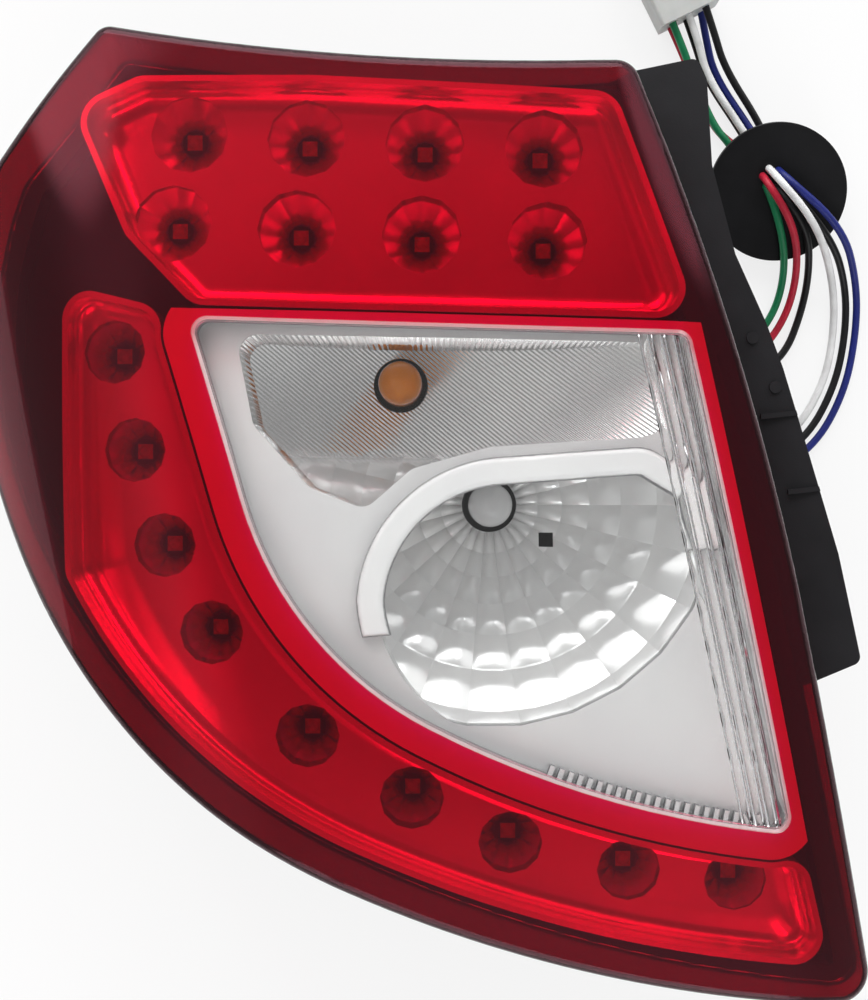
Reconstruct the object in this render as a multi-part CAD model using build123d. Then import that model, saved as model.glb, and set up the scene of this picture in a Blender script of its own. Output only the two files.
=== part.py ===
from build123d import *
import functools
import math
import os

# Tail light cluster of a car, lying on its back with the lens up.
# X runs inboard, Y runs up the car and Z runs out of the lens. The mounting plane is Z = 0.
# Plan places below are measured from the middle of the lens. The finished part is then moved so
# that its origin is on the main stud's axis.

# Mounting studs
MAIN_STUD = (75.0, 95.0)
STUDS = (MAIN_STUD, (-92.0, 48.0), (68.0, -104.0))
STUD_RADIUS = 3.0
STUD_LENGTH = 24.0
STUD_TIP = 1.0
STUD_COLLAR = 3.6
STUD_SINK = 12.0
STUD_HEAD_RADIUS = 5.5
STUD_HEAD_SIDES = 6
STUD_HEAD = 4.0
BOSS_RADIUS = 9.0
WASHER_RADIUS = 11.0
WASHER = 6.0

# Lens surface: a shallow face arc that wraps round the outboard side and rolls off inboard
FACE_TOP = 96.0
FACE_RADIUS = 1200.0
FACE_MIDDLE = 20.0
WRAP_START = -72.0
WRAP_RADIUS = 95.0
WRAP_TURN = 62.0
ROLL_START = 78.0
ROLL_RADIUS = 60.0
ROLL_TURN = 28.0
CROWN_RADIUS = 700.0
LEAN = 12.5
LENS_WALL = 2.8
LENS_EDGE = 4.0
FACE_NORMAL = 0.2

# Lens outline, from the top left corner round by the right
TOP_LEFT = (-108.4, 155.6)
TOP_BOW = (-10.9, 142.5)
TOP_RIGHT = (63.8, 141.7)
INBOARD_BOW = (92.5, 61.5)
INBOARD_KNEE = (116.4, -25.7)
BOTTOM_RIGHT = (146.5, -166.9)
SILL_BOW = (53.8, -153.9)
SILL_END = (-30.1, -124.9)
SWEEP_END = (-146.2, 3.4)
SIDE_TOP = (-144.5, 111.0)
TOP_LEFT_ROUND = 6.0
TOP_RIGHT_ROUND = 8.0
BOTTOM_RIGHT_ROUND = 10.0
SIDE_TOP_ROUND = 12.0

# Clear window outline and its flutes
WINDOW_TOP_LEFT = (-78.7, 58.5)
WINDOW_TOP_BOW = (0.0, 55.6)
WINDOW_TOP_RIGHT = (80.6, 53.5)
WINDOW_BOTTOM_RIGHT = (115.7, -107.4)
WINDOW_SILL_BOW = (56.0, -95.5)
WINDOW_SILL_END = (-1.3, -72.4)
WINDOW_SWEEP_END = (-60.9, 0.0)
WINDOW_ROUND = 5.0
WINDOW_RIB = 1.4
WINDOW_RIB_DEPTH = 2.3
FLUTES = 4
FLUTE_RADIUS = 1.7
FLUTE_PITCH = 3.9
FLUTE_INSET = 3.2

# Parting surface between lens and housing, sloped down to the outboard side
PART_INBOARD = (115.0, 58.0)
PART_OUTBOARD = (-155.0, 24.0)
PART_CROWN = 1300.0
BEAD_WIDTH = 1.6
BEAD_DEPTH = 1.2

# Housing
RIM_DEPTH = 5.0
RIM_LIP = 1.2
TUB_INSET = 6.0
TUB_DEPTH = 18.0
HOUSING_WALL = 2.5
BACK = 6.0
BULB_BOX = ((-52.0, 66.0), (40.0, 66.0), (58.0, 44.0), (58.0, -36.0), (0.0, -40.0), (-52.0, 0.0))
BULB_BOX_ROUND = 10.0
BULB_BOX_DRAFT = 5.0
GUSSET = 2.5
GUSSET_REACH = 15.0
BACK_RIBS = 5
BACK_RIB_PITCH = 22.0
BACK_RIB_HEIGHT = 5.0
BACK_RIB_FIRST = -122.0

# Inboard flange of the housing
FLANGE = ((58.0, 143.0), (88.5, 148.5), (91.5, 141.0), (93.0, 112.0), (100.5, 82.0), (110.5, 59.0),
          (116.0, 44.0), (123.0, 20.5), (134.5, -18.0), (142.5, -54.0), (120.0, -64.0), (100.0, -20.0),
          (80.0, 60.0), (52.0, 130.0))
FLANGE_ROUND = 3.0
FLANGE_DROP = 1.0
FLANGE_THICK = 3.5
FLANGE_RIBS = ((116.5, 28.5), (125.5, 3.5))
FLANGE_RIB = (16.0, 1.6, 1.2)
FLANGE_PIPS = ((106.0, 54.0), (113.5, 37.5))
PIP_RADIUS = 2.0
PIP_HEIGHT = 0.8

# Reflectors, as depths below the lens's outer surface
SHELL = 2.0
RIM_GAP = 5.4
BRAKE_FLOOR = 22.0
TAIL_FLOOR = 20.0
CENTRE_FACE = 14.0
SHELF_FACE = 8.0
SHELF_WIDTH = 6.0
SHELF_OVERHANG = 3.0
SHELF_ROUND = 2.0
SHELF_KEEP = ((-70.0, -48.0), (-70.0, 60.0), (110.0, 60.0), (110.0, -16.0), (60.0, -16.0), (20.0, -40.0))
BRAKE_OUTLINE = ((-118.0, 128.0), (-96.0, 138.0), (-40.0, 137.0), (58.0, 131.0), (84.0, 57.1), (21.0, 58.9),
                 (-27.0, 60.3), (-77.0, 62.1), (-99.0, 85.0))
BRAKE_ROUND = 10.0
BRAKE_SWEEP = 6.0
CENTRE_LAND = 9.4
CENTRE_TOP_LAND = 2.0
CENTRE_SIDE_LAND = 4.0
TAIL_GAP = 0.8
TAIL_ROUND = 9.0
TAIL_SWEEP = 4.0
TAIL_INSET = 13.0
TAIL_SIDE = -120.0
TAIL_KEEP = ((TAIL_SIDE, 70.0), (-82.0, 60.0), (0.0, -20.0), (112.0, -100.0), (119.0, -111.0),
             (142.4, -200.0), (TAIL_SIDE, -200.0))

# Cups and LEDs
BRAKE_CUP_START = ((-81.0, 121.0), (-86.0, 91.0))
BRAKE_CUP_STEP = ((39.0, -2.0), (41.0, -2.2))
BRAKE_CUP_COUNT = 4
BRAKE_CUP_RADIUS = 13.0
TAIL_CUPS = ((-104.8, 48.6), (-97.8, 16.4), (-87.8, -14.7), (-72.3, -43.0), (-41.1, -76.6), (-7.2, -97.0),
             (25.0, -112.0), (64.0, -121.5), (99.6, -125.5))
TAIL_CUP_RADIUS = 10.5
CUP_SIDES = 12
CUP_SEAT = 4.4
CUP_WALL = 1.4
CUP_CONE = 13.0
BOARD_TOP = 42.0
BOARD_THICK = 1.6
BOARD_MARGIN = 11.0
TAIL_BOARD_INSET = 2.5
LED_SIZE = 5.0
LED_HEIGHT = 1.5
LED_DOME = 1.2
LED_TAPER = 35.0
BRAKE_SCREWS = ((-62.0, 106.0), (16.0, 101.0))
TAIL_SCREWS = ((-93.0, 1.0), (-57.0, -61.0), (45.0, -116.5))
POST_RADIUS = 4.0
SCREW_RADIUS = 1.5
SCREW_LENGTH = 9.0
SCREW_HEAD_RADIUS = 2.8
SCREW_HEAD = 1.8

# Bulb chambers: plan outline, bulb place and depth of each
TURN_BULB = (-11.6, 40.0)
REVERSE_BULB = (19.3, -1.7)
TURN_MOUTH = ((-64.0, 53.4), (70.0, 50.6), (75.0, 22.5), (66.0, 20.0), (18.0, 17.0), (-7.0, 10.0),
              (-22.0, -3.0), (-40.0, 4.0), (-58.0, 24.0))
MOUTH_ROUND = 6.0
BOWL_SIDE = (-18.8, -31.8)
BOWL_SHOULDER = (-7.5, -6.0)
BOWL_TOP_LEFT = (20.0, 7.6)
BOWL_TOP_RIGHT = (66.0, 11.0)
BOWL_CORNER = (81.0, 2.0)
BOWL_RIGHT = (86.0, -34.0)
BOWL_LOWER = (66.0, -66.0)
BOWL_FOOT = (36.0, -77.0)
BOWL_HEEL = (-4.0, -64.0)
BOWL_ROUND = 7.0
BOWL_FACETS = 26
BOWL_RINGS = (9.8, 17.0, 25.0, 34.0, 44.0, 55.0, 67.0, 80.0, 94.0)
BOWL_SLOT = (38.9, -13.8)
BOWL_SLOT_SIZE = 5.0
CHAMBER_BOTTOM = 22.0
TURN_FOCUS = 35.0
REVERSE_FOCUS = 23.0
CHAMBER_REACH = 100.0
BULB_HOLE = 9.5
NECK_BOTTOM = 14.0
NECK_RADIUS = 16.2
NECK_WALL = 2.4
TEETH = 22
TOOTH_PITCH = 3.3
TOOTH_SIZE = (1.6, 3.6)
TOOTH_INSET = 2.4
TOOTH_START = 12.0
TOOTH_FACE = 10.0

# Bulbs and their holders
BULB_RADIUS = 7.5
BULB_TOP = 46.0
BULB_ROUND = 6.0
BULB_SHOULDER = 18.0
BULB_BASE = (12.0, 5.0)
BULB_BASE_BOTTOM = 6.0
HOLDER_HOLE = 11.0
HOLDER_FIT = 0.3
SOCKET_TOP = 17.0
SOCKET_RADIUS = 9.0
HOLDER_FLANGE = 16.0
HOLDER_FLANGE_THICK = 3.0
SEAL_THICK = 1.5
SEAL_INNER = 11.4
SEAL_OUTER = 15.0
KNOB_RADIUS = 10.5
KNOB_BOTTOM = -9.0
KNOB_WINGS = (26.0, 5.0)
LUGS = 3
LUG_REACH = 13.0
LUG_WIDTH = 6.0
LUG_HEIGHT = 2.0

# Cable gland and vent
GLAND = (34.0, 52.0)
GLAND_RADIUS = 6.0
GLAND_FLANGE = 8.5
GLAND_FLANGE_THICK = 3.0
GLAND_TOP = 11.0
VENT = (-38.0, 14.0)
VENT_RADIUS = 5.5
VENT_HEIGHT = 7.0
VENT_ROUND = 1.8
VENT_STEM = 2.5
VENT_STEM_PROUD = 1.0

# Wires: routes from the lamp through the grommet to the connector
WIRE_RADIUS = 1.4
BEND_SHARE = 0.45
WIRES = {
    "wire_green": ((34, 53.6, 7), (34, 53.6, -7), (43, 54.8, -19), (60, 57.5, -22.6), (81, 55.5, -22.6),
                   (101, 53.2, -22.6), (117.5, 57.5, -22.6), (127, 69, -22.6), (130.4, 83, -18.5),
                   (128.2, 97, -8.5), (121.6, 114, -3.4), (121.6, 120.1, -22.3), (115.2, 136.6, -22.6),
                   (102, 157.4, -22.6), (93.7, 169, -21.7), (86.1, 180.9, -20)),
    "wire_red": ((34, 50.4, 7), (34, 50.4, -7), (44, 51.2, -19), (61, 53.6, -22.6), (82, 51.6, -22.6),
                 (103, 49.3, -22.6), (120.5, 53.5, -22.6), (131.2, 67, -22.6), (135, 83.5, -17),
                 (132, 99.5, -5), (120.4, 116, 1), (120.4, 122.5, -19), (115.2, 136.6, -19.4),
                 (102, 157.4, -19), (93.7, 169, -14.7), (86.1, 180.9, -13)),
    "wire_black_turn": ((-5, 42, -4), (8, 42, -4), (20, 42.6, -13), (36, 43.5, -21), (54, 45.5, -22.6),
                        (75, 44.5, -22.6), (97, 42.5, -22.6), (117, 44.5, -22.6), (131, 53.5, -22.6),
                        (137.4, 70, -22.4), (139.6, 85, -18), (137.2, 99.5, -8.5), (125, 113.4, -3.6),
                        (125, 119.5, -22.3), (118.3, 138.2, -22.6), (104.7, 159, -22.6), (98.6, 171.4, -21.7),
                        (92.4, 184, -20)),
    "wire_white": ((-5, 38, -4), (8, 38, -4), (20.5, 37.8, -13), (37, 35.5, -21), (56, 29, -22.6),
                   (76, 19.5, -22.6), (97, 14, -22.6), (118, 15, -22.6), (136, 26, -22.6), (146.5, 45, -22.6),
                   (149.8, 64, -22.6), (148.2, 82, -17), (139.4, 100.5, -2.5), (122.6, 117.5, 5.1),
                   (122.6, 125.3, -19), (118.3, 138.2, -19.4), (104.7, 159, -19), (98.6, 171.4, -14.7),
                   (92.4, 184, -13)),
    "wire_black_reverse": ((26, 0.3, -4), (39, 0.3, -4), (51, 1.8, -13), (67, 5.5, -21), (86, 8.3, -22.6),
                           (104, 8.8, -22.6), (121.5, 11.8, -22.6), (139.5, 23, -22.6), (150, 42.5, -22.6),
                           (154, 62, -22.6), (153.6, 79.5, -20), (146.6, 95.5, -9.3), (127.2, 115.9, -2.7),
                           (127.2, 122.3, -22.3), (121.4, 139.8, -22.6), (107.6, 160.7, -22.6),
                           (103.5, 173.8, -21.7), (98.7, 187.1, -20)),
    "wire_blue": ((26, -3.7, -4), (39, -3.7, -4), (51.5, -2.9, -13), (68, 0.5, -21), (87, 3.5, -22.6),
                  (105, 4.6, -22.6), (123.5, 8.2, -22.6), (142.5, 20, -22.6), (153.5, 40, -22.6),
                  (157.8, 61, -22.6), (157.6, 80, -19), (149.5, 99.5, -5), (126, 118, 1.6), (126, 124.7, -19),
                  (121.4, 139.8, -19.4), (107.6, 160.7, -19), (103.5, 173.8, -14.7), (98.7, 187.1, -13)),
}

# Grommet and connector
GROMMET_PLACE = (126.3, 114.1, -12.6)
GROMMET_TILT = 18.0
GROMMET_RADIUS = 25.4
GROMMET_BACK_RADIUS = 24.4
GROMMET_GROOVE = 21.5
GROMMET_HALF = 3.5
GROMMET_LIP = 2.4
CONNECTOR_FACE = (94.6, 179.5, -16.5)
CONNECTOR_TURN = 26.2
CONNECTOR_SIZE = (24.0, 30.0, 14.6)
CONNECTOR_ROUND = 1.5
CONNECTOR_SOCKET = (20.0, 14.0, 10.6)
LATCH = (7.0, 12.0, 1.8)
LATCH_SINK = 0.4
PIN_SIZE = 1.6
PIN_END = 26.0

# Plain helpers
SOLID_LOW = -60.0
SOLID_HIGH = 160.0
CROWN_HALF = 18.0
SECTION_REACH = 260.0
SECTION_SPARE = 1.0
LEAN_COS = math.cos(math.radians(LEAN))
LEAN_SIN = math.sin(math.radians(LEAN))
ACROSS = (LEAN_COS, LEAN_SIN, 0)
SECTION = Plane(origin=(0, 0, 0), x_dir=ACROSS, z_dir=(LEAN_SIN, -LEAN_COS, 0))
SHARP_TURN = 15.0
BOTTOM_UP = (Align.CENTER, Align.CENTER, Align.MIN)


def disc(radius, low, high, place=(0, 0)):
    """Upright cylinder between two heights."""
    return Pos(place[0], place[1], low) * Cylinder(radius, high - low, align=BOTTOM_UP)


def tube(outer, inner, low, high, place=(0, 0)):
    """Upright tube between two heights."""
    return disc(outer, low, high, place) - disc(inner, low, high, place)


def prism(region, low=SOLID_LOW, high=SOLID_HIGH):
    """A plan region as an upright solid."""
    return extrude(Pos(0, 0, low) * region, amount=high - low, dir=(0, 0, 1))


def grow(region, by):
    """A plan region with its edge moved out, or in where by is negative."""
    return offset(region, amount=by, kind=Kind.ARC)


def rounded(points, radius):
    """A plan polygon with rounded corners."""
    face = make_face(Polyline(*points, close=True))
    return fillet(face.vertices(), radius)


def round_corner(face, corner, radius):
    """Rounds the one corner of a plan face that is at the given place."""
    return fillet(face.vertices().sort_by_distance(Vector(*corner, 0))[0], radius)


def sharp_corners(face):
    """Vertices of a plan face where its edge turns sharply."""
    edges = face.wire().order_edges()
    corners = []
    for before, after in zip(edges, [*edges[1:], edges[0]]):
        if (before % 1).get_angle(after % 0) > SHARP_TURN:
            corners += face.vertices().sort_by_distance(before @ 1)[:1]
    return corners


def rim(block, way):
    """Edges round the faces of a block that look up, or down where way is -1."""
    looking = [face.edges() for face in block.faces() if way * face.normal_at().Z > FACE_NORMAL]
    every = [edge for edges in looking for edge in edges]
    return [edge for edge in every if sum(edge.is_same(other) for other in every) == 1]


def one_solid(shape):
    """The largest solid of a shape, without crumbs left by a cut."""
    return shape.solids().sort_by(SortBy.VOLUME)[-1]


# Lens surface


def face_point(centre, radius, degrees):
    """A point of a section arc, its angle measured from straight up."""
    turn = math.radians(degrees)
    return (centre[0] + radius * math.sin(turn), centre[1] + radius * math.cos(turn))


def arc_centre(on_face, degrees, radius):
    """Centre of an arc that leaves the face tangentially."""
    turn = math.radians(degrees)
    return (on_face[0] - radius * math.sin(turn), on_face[1] - radius * math.cos(turn))


def section_arc(centre, radius, first, last):
    """Arc of the section between two angles."""
    points = [face_point(centre, radius, turn) for turn in (first, (first + last) / 2, last)]
    return ThreePointArc(*points)


def crowned_block(edges, axis_height):
    """Everything below a section line, swept about the crown axis."""
    first, last = edges[0] @ 0, edges[-1] @ 1
    close = Polyline(last, (last.X, SOLID_LOW), (first.X, SOLID_LOW), first)
    face = SECTION * make_face([*edges, *close.edges()])
    axis = Axis((0, 0, axis_height), ACROSS)
    return revolve(face, axis, revolution_arc=2 * CROWN_HALF).rotate(axis, -CROWN_HALF)


FACE_CENTRE = (FACE_MIDDLE, FACE_TOP - FACE_RADIUS)
WRAP_ANGLE = math.degrees(math.asin((WRAP_START - FACE_MIDDLE) / FACE_RADIUS))
ROLL_ANGLE = math.degrees(math.asin((ROLL_START - FACE_MIDDLE) / FACE_RADIUS))
WRAP_CENTRE = arc_centre(face_point(FACE_CENTRE, FACE_RADIUS, WRAP_ANGLE), WRAP_ANGLE, WRAP_RADIUS)
ROLL_CENTRE = arc_centre(face_point(FACE_CENTRE, FACE_RADIUS, ROLL_ANGLE), ROLL_ANGLE, ROLL_RADIUS)
CROWN_AXIS = FACE_TOP - CROWN_RADIUS


@functools.lru_cache(maxsize=None)
def below_face(depth):
    """Everything below the lens surface sunk by a depth."""
    wrap = section_arc(WRAP_CENTRE, WRAP_RADIUS - depth, -WRAP_TURN, WRAP_ANGLE)
    face = section_arc(FACE_CENTRE, FACE_RADIUS - depth, WRAP_ANGLE, ROLL_ANGLE)
    roll = section_arc(ROLL_CENTRE, ROLL_RADIUS - depth, ROLL_ANGLE, ROLL_TURN)
    out_turn, in_turn = math.radians(WRAP_TURN), math.radians(ROLL_TURN)
    out_end, in_end = wrap @ 0, roll @ 1
    out_run = (out_end.Y - SOLID_LOW) / math.sin(out_turn) - SECTION_SPARE
    in_run = SECTION_REACH - in_end.X
    outer = (out_end.X - out_run * math.cos(out_turn), out_end.Y - out_run * math.sin(out_turn))
    inner = (in_end.X + in_run, in_end.Y - in_run * math.tan(in_turn))
    return crowned_block([Line(outer, out_end), wrap, face, roll, Line(in_end, inner)], CROWN_AXIS)


def layer(top, bottom):
    """The slab between two depths below the lens surface."""
    return below_face(top) - below_face(bottom)


def face_height(across):
    """Height of the lens's outer surface at the middle of its crown, inboard of the wrap."""
    if across <= ROLL_START:
        return FACE_CENTRE[1] + math.sqrt(FACE_RADIUS**2 - (across - FACE_CENTRE[0]) ** 2)
    return ROLL_CENTRE[1] + math.sqrt(ROLL_RADIUS**2 - (across - ROLL_CENTRE[0]) ** 2)


# Parting surface

PART_SLOPE = (PART_INBOARD[1] - PART_OUTBOARD[1]) / (PART_INBOARD[0] - PART_OUTBOARD[0])
PART_MIDDLE = PART_INBOARD[1] - PART_SLOPE * PART_INBOARD[0]
PART_AXIS = PART_MIDDLE - PART_CROWN


@functools.lru_cache(maxsize=None)
def below_parting(drop):
    """Everything below the parting surface lowered by a drop."""
    ends = [(across, PART_MIDDLE + PART_SLOPE * across - drop) for across in (-SECTION_REACH, SECTION_REACH)]
    return crowned_block([Line(*ends)], PART_AXIS)


def part_layer(top, bottom):
    """The slab between two drops below the parting surface."""
    return below_parting(top) - below_parting(bottom)


def parting_height(place, drop=0.0):
    """Height of the parting surface at a plan place."""
    across = place[0] * LEAN_COS + place[1] * LEAN_SIN
    along = place[1] * LEAN_COS - place[0] * LEAN_SIN
    reach = PART_MIDDLE + PART_SLOPE * across - drop - PART_AXIS
    return PART_AXIS + math.sqrt(reach**2 - along**2)


# Plan outlines


def lens_outline():
    """Outline of the whole lens."""
    top = ThreePointArc(TOP_LEFT, TOP_BOW, TOP_RIGHT)
    inboard = ThreePointArc(TOP_RIGHT, INBOARD_BOW, INBOARD_KNEE)
    lower = Line(INBOARD_KNEE, BOTTOM_RIGHT)
    sill = ThreePointArc(BOTTOM_RIGHT, SILL_BOW, SILL_END)
    sweep_up = TangentArc(SILL_END, SWEEP_END, tangent=sill % 1)
    side = TangentArc(SWEEP_END, SIDE_TOP, tangent=sweep_up % 1)
    slant = Line(SIDE_TOP, TOP_LEFT)
    face = make_face([top, inboard, lower, sill, sweep_up, side, slant])
    face = round_corner(face, TOP_LEFT, TOP_LEFT_ROUND)
    face = round_corner(face, TOP_RIGHT, TOP_RIGHT_ROUND)
    face = round_corner(face, BOTTOM_RIGHT, BOTTOM_RIGHT_ROUND)
    return round_corner(face, SIDE_TOP, SIDE_TOP_ROUND)


def window_outline():
    """Outline of the clear window."""
    top = ThreePointArc(WINDOW_TOP_LEFT, WINDOW_TOP_BOW, WINDOW_TOP_RIGHT)
    inboard = Line(WINDOW_TOP_RIGHT, WINDOW_BOTTOM_RIGHT)
    sill = ThreePointArc(WINDOW_BOTTOM_RIGHT, WINDOW_SILL_BOW, WINDOW_SILL_END)
    sweep_up = TangentArc(WINDOW_SILL_END, WINDOW_SWEEP_END, tangent=sill % 1)
    side = TangentArc(WINDOW_SWEEP_END, WINDOW_TOP_LEFT, tangent=sweep_up % 1)
    face = make_face([top, inboard, sill, sweep_up, side])
    for corner in (WINDOW_TOP_LEFT, WINDOW_TOP_RIGHT, WINDOW_BOTTOM_RIGHT):
        face = round_corner(face, corner, WINDOW_ROUND)
    return face


def bowl_outline():
    """Mouth of the reverse bowl: a round shape cut off along its inboard side."""
    edges = [
        ThreePointArc(BOWL_SIDE, BOWL_SHOULDER, BOWL_TOP_LEFT),
        Line(BOWL_TOP_LEFT, BOWL_TOP_RIGHT),
        Line(BOWL_TOP_RIGHT, BOWL_CORNER),
        Line(BOWL_CORNER, BOWL_RIGHT),
        ThreePointArc(BOWL_RIGHT, BOWL_LOWER, BOWL_FOOT),
        ThreePointArc(BOWL_FOOT, BOWL_HEEL, BOWL_SIDE),
    ]
    face = make_face(edges)
    return fillet(sharp_corners(face), BOWL_ROUND)


def centre_outline(window):
    """Window grown by its land: wide round the sweep, narrow along the top and inboard."""
    away = SECTION_REACH
    top = Line(WINDOW_TOP_LEFT, WINDOW_TOP_RIGHT)
    up = (top % 0.5).rotate(Axis.Z, 90)
    side = Line(WINDOW_TOP_RIGHT, WINDOW_BOTTOM_RIGHT)
    out = (side % 0.5).rotate(Axis.Z, 90)
    top_start = Vector(*WINDOW_TOP_LEFT) + up * CENTRE_TOP_LAND - (top % 0.5) * away
    top_stop = Vector(*WINDOW_TOP_RIGHT) + up * CENTRE_TOP_LAND + out * CENTRE_SIDE_LAND
    side_stop = Vector(*WINDOW_BOTTOM_RIGHT) + out * CENTRE_SIDE_LAND + (side % 0.5) * away
    keep = make_face(Polyline(top_start, top_stop, side_stop, (-away, side_stop.Y), close=True))
    return grow(window, CENTRE_LAND) & keep


def tail_outline(lens, window):
    """Curved band between the window's land and the lens edge."""
    keep = make_face(Polyline(*TAIL_KEEP, close=True))
    band = (grow(lens, -TAIL_INSET) - grow(window, CENTRE_LAND + TAIL_GAP)) & keep
    face = band.faces().sort_by(SortBy.AREA)[-1]
    return fillet(sharp_corners(face), TAIL_ROUND)


LENS = lens_outline()
WINDOW = window_outline()
CENTRE = centre_outline(WINDOW)
TAIL = tail_outline(LENS, WINDOW)
BRAKE = rounded(BRAKE_OUTLINE, BRAKE_ROUND)
BOWL = bowl_outline()
TURN = rounded(TURN_MOUTH, MOUTH_ROUND)
BOX = rounded(BULB_BOX, BULB_BOX_ROUND)


# Lens


def lens_shell():
    """Whole lens before its window is parted off: face, side walls and rounded edge."""
    dome = one_solid(prism(LENS) & below_face(0.0))
    dome = fillet(rim(dome, 1), LENS_EDGE)
    inside = prism(grow(LENS, -LENS_WALL)) & below_face(LENS_WALL)
    return one_solid(dome - inside - below_parting(0.0))


def flute(number):
    """One half-round rib on the window's inner face, parallel to its inboard edge."""
    edge = WINDOW_TOP_RIGHT[0] * LEAN_COS + WINDOW_TOP_RIGHT[1] * LEAN_SIN
    across = edge - FLUTE_INSET - number * FLUTE_PITCH
    circle = SECTION * Pos(across, face_height(across) - LENS_WALL) * Circle(FLUTE_RADIUS)
    axis = Axis((0, 0, CROWN_AXIS), ACROSS)
    return revolve(circle, axis, revolution_arc=2 * CROWN_HALF).rotate(axis, -CROWN_HALF)


def clear_window(shell):
    """Window cut out of the shell, with the rib round its edge and its flutes."""
    pane = shell & prism(WINDOW)
    rib = WINDOW - grow(WINDOW, -WINDOW_RIB)
    pane += prism(rib) & layer(LENS_WALL / 2, LENS_WALL + WINDOW_RIB_DEPTH)
    inner = prism(grow(WINDOW, -FLUTE_RADIUS)) & below_face(LENS_WALL / 2)
    for number in range(FLUTES):
        pane += flute(number) & inner
    return one_solid(pane)


# Reflectors


def tray(region, floor_depth, sweep_radius):
    """Open moulding whose rim and floor both follow the lens, with a swept foot to its wall."""
    body = prism(region) & layer(RIM_GAP, floor_depth + SHELL)
    hollow = one_solid(prism(grow(region, -SHELL)) & layer(RIM_GAP - SHELL, floor_depth))
    return body - fillet(rim(hollow, -1), sweep_radius)


def cup(place, radius, wall):
    """Faceted cup standing on the board: a flared foot and a straight upper part."""
    flare = math.cos(math.pi / CUP_SIDES) * (radius - CUP_SEAT)
    taper = -math.degrees(math.atan(flare / CUP_CONE))
    spot = Pos(place[0], place[1], BOARD_TOP)
    foot = extrude(spot * RegularPolygon(CUP_SEAT + wall, CUP_SIDES), amount=CUP_CONE, taper=taper)
    upper = Pos(0, 0, CUP_CONE) * spot * RegularPolygon(radius + wall, CUP_SIDES)
    return foot + extrude(upper, amount=SOLID_HIGH - BOARD_TOP - CUP_CONE)


def cupped_tray(region, floor_depth, sweep_radius, places, radius):
    """Tray with a row of cups let into its floor."""
    body = tray(region, floor_depth, sweep_radius)
    under = below_face(floor_depth + SHELL / 2)
    for place in places:
        body += cup(place, radius, CUP_WALL) & under
    open_above = below_face(floor_depth - SHELL)
    for place in places:
        body -= cup(place, radius, 0.0) & open_above
    return one_solid(body)


def brake_cups():
    """Places of the brake cups, two rows."""
    rows = zip(BRAKE_CUP_START, BRAKE_CUP_STEP)
    count = range(BRAKE_CUP_COUNT)
    return [(x + n * dx, y + n * dy) for (x, y), (dx, dy) in rows for n in count]


def paraboloid(place, bottom, focus, wall):
    """Solid above a parabolic bowl, widened by a wall."""
    rise = CHAMBER_REACH**2 / (4 * focus)
    low = bottom - wall
    curve = Bezier((0, low), (CHAMBER_REACH / 2 + wall, low), (CHAMBER_REACH + wall, bottom + rise))
    close = Polyline(curve @ 1, (0, bottom + rise), (0, low))
    face = Plane.XZ * make_face([curve, *close.edges()])
    return Pos(place[0], place[1], 0) * revolve(face, Axis.Z)


def faceted_bowl(place, bottom, focus):
    """Solid above a parabolic bowl made of flat facets, in rings round the bulb."""
    rings = []
    for radius in BOWL_RINGS:
        height = bottom + radius**2 / (4 * focus)
        rings.append(Pos(place[0], place[1], height) * RegularPolygon(radius, BOWL_FACETS))
    return loft(rings, ruled=True)


def chamber(place, mouth, focus, wall):
    """Bulb chamber: a parabolic bowl trimmed to the outline of its mouth."""
    return paraboloid(place, CHAMBER_BOTTOM, focus, wall) & prism(grow(mouth, wall) if wall else mouth)


def shelf_bar():
    """Rounded shelf along the top and outboard side of the reverse bowl."""
    keep = make_face(Polyline(*SHELF_KEEP, close=True))
    region = (grow(BOWL, SHELF_WIDTH) - grow(BOWL, -SHELF_OVERHANG)) & keep & grow(WINDOW, -SHELL)
    bar = one_solid(prism(region) & layer(SHELF_FACE, CENTRE_FACE + SHELL))
    return fillet(rim(bar, 1), SHELF_ROUND)


def window_teeth():
    """Plan of the row of small teeth along the sill of the window."""
    sill = ThreePointArc(WINDOW_BOTTOM_RIGHT, WINDOW_SILL_BOW, WINDOW_SILL_END)
    row = Sketch()
    for number in range(TEETH):
        share = (TOOTH_START + number * TOOTH_PITCH) / sill.length
        along = sill % share
        place = sill @ share + along.rotate(Axis.Z, -90) * TOOTH_INSET
        row += Plane(origin=place, x_dir=along, z_dir=(0, 0, 1)) * Rectangle(*TOOTH_SIZE)
    return row


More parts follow.
